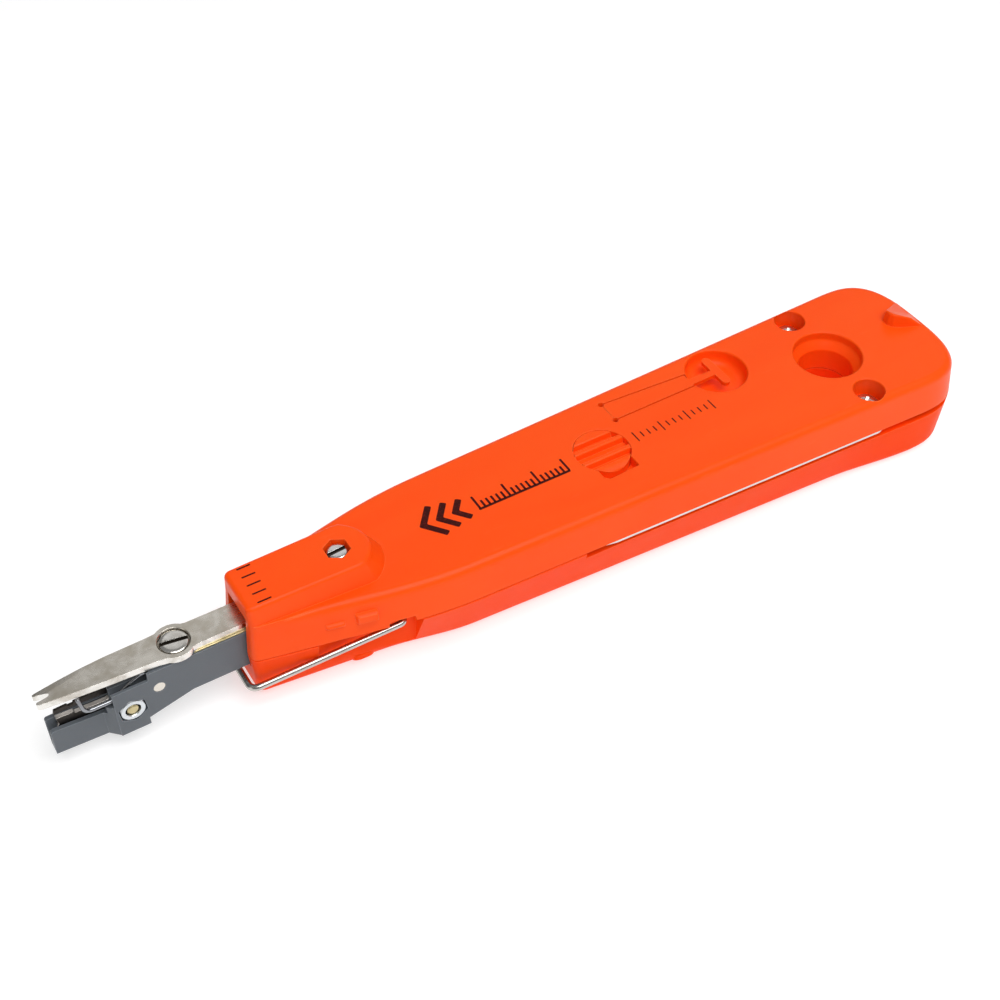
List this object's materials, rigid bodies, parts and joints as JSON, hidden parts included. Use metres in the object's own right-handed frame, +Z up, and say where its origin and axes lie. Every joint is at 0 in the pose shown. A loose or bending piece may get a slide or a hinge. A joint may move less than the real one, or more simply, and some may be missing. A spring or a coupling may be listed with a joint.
{
  "type": "punch down tool",
  "caption": "Hand tool that presses and trims wires in telecom terminal blocks, with a sprung sliding head, a scissor lever, a wire bail, and fold-out blade and hook.",
  "frame": {"origin": "centre of the bounding box, at the level of the flat bottom of the lower shell", "axes": "+X along the tool from the tip to the hanging hole, +Y away from the fold-out blade's side, +Z up through the top face"},
  "size_m": [0.1782, 0.0322, 0.0223],
  "materials": {
    "orange_plastic": "moulded orange, satin gloss",
    "orange_plastic_lower": "moulded orange, satin gloss",
    "orange_button": "moulded orange, satin gloss",
    "orange_tongue": "moulded orange, satin gloss",
    "grey_plastic": "glass-filled grey, low sheen",
    "nickel_plate": "nickel plated, worn",
    "bright_steel": "bright ground steel",
    "dark_steel": "hardened dark steel",
    "zinc_plate": "bright zinc plated",
    "brass": "machined brass",
    "spring_steel": "oiled spring wire",
    "steel_wire": "bright plated wire"
  },
  "bodies": {
    "casing": {"upper_shell": "orange_plastic", "lower_shell": "orange_plastic_lower", "nose_screw": "bright_steel", "nose_nut": "zinc_plate", "butt_screw_far": "bright_steel", "butt_screw_near": "bright_steel", "cam_insert": "brass", "main_spring": "spring_steel", "spring_rod": "bright_steel", "retainer_plate": "zinc_plate", "blade_pin": "bright_steel", "hook_pin": "bright_steel", "button_spring": "spring_steel"},
    "head": {"head_body": "grey_plastic", "inserter_blade": "bright_steel", "fixed_blade": "dark_steel", "cross_pin": "nickel_plate", "clamp_nut": "zinc_plate", "clamp_screw": "brass", "pivot_screw": "nickel_plate", "sensor_spring": "spring_steel"},
    "lever": {"scissor_lever": "nickel_plate"},
    "sensor": {"sensor_wire": "steel_wire"},
    "bail": {"lock_bail": "steel_wire"},
    "blade": {"fold_out_blade": "bright_steel"},
    "hook": {"fold_out_hook": "bright_steel"},
    "button": {"round_button": "orange_button"},
    "tongue": {"release_tongue": "orange_tongue"}
  },
  "joints": [
    {"name": "head_push", "type": "slide", "parent": "casing", "child": "head", "axis": [1, 0, 0], "range_m": [0, 0.008], "stiffness_N_per_m": 400, "springref_m": -0.012, "deforming": ["main_spring"]},
    {"name": "lever_swing", "type": "hinge", "parent": "head", "child": "lever", "pos_m": [-0.06625, 0, 0.01641], "axis": [0, 0, 1], "range_deg": [0, 6]},
    {"name": "sensor_dip", "type": "hinge", "parent": "head", "child": "sensor", "pos_m": [-0.0707, -0.0019, 0.0114], "axis": [0, 1, 0], "range_deg": [-4, 0], "stiffness_Nm_per_rad": 0.001, "springref_deg": 2.86},
    {"name": "bail_swing", "type": "hinge", "parent": "casing", "child": "bail", "pos_m": [-0.0304, 0, 0.0099], "axis": [0, -1, 0], "range_deg": [0, 90]},
    {"name": "blade_fold", "type": "hinge", "parent": "casing", "child": "blade", "pos_m": [0.0105, -0.0096, 0.01028], "axis": [0, 0, -1], "range_deg": [0, 90]},
    {"name": "hook_fold", "type": "hinge", "parent": "casing", "child": "hook", "pos_m": [0.0105, 0.0096, 0.01028], "axis": [0, 0, 1], "range_deg": [0, 90]},
    {"name": "button_push", "type": "slide", "parent": "casing", "child": "button", "axis": [0, 0, -1], "range_m": [0, 0.0012], "stiffness_N_per_m": 300, "springref_m": -0.0015, "deforming": ["button_spring"]},
    {"name": "tongue_flex", "type": "hinge", "parent": "casing", "child": "tongue", "pos_m": [0.0214, 0.0078, 0.01785], "axis": [0, 1, 0], "range_deg": [0, 3], "stiffness_Nm_per_rad": 0.2}
  ],
  "couplings": [
    {"joint": "lever_swing", "follows": "head_push", "rad_per_m": 13}
  ]
}
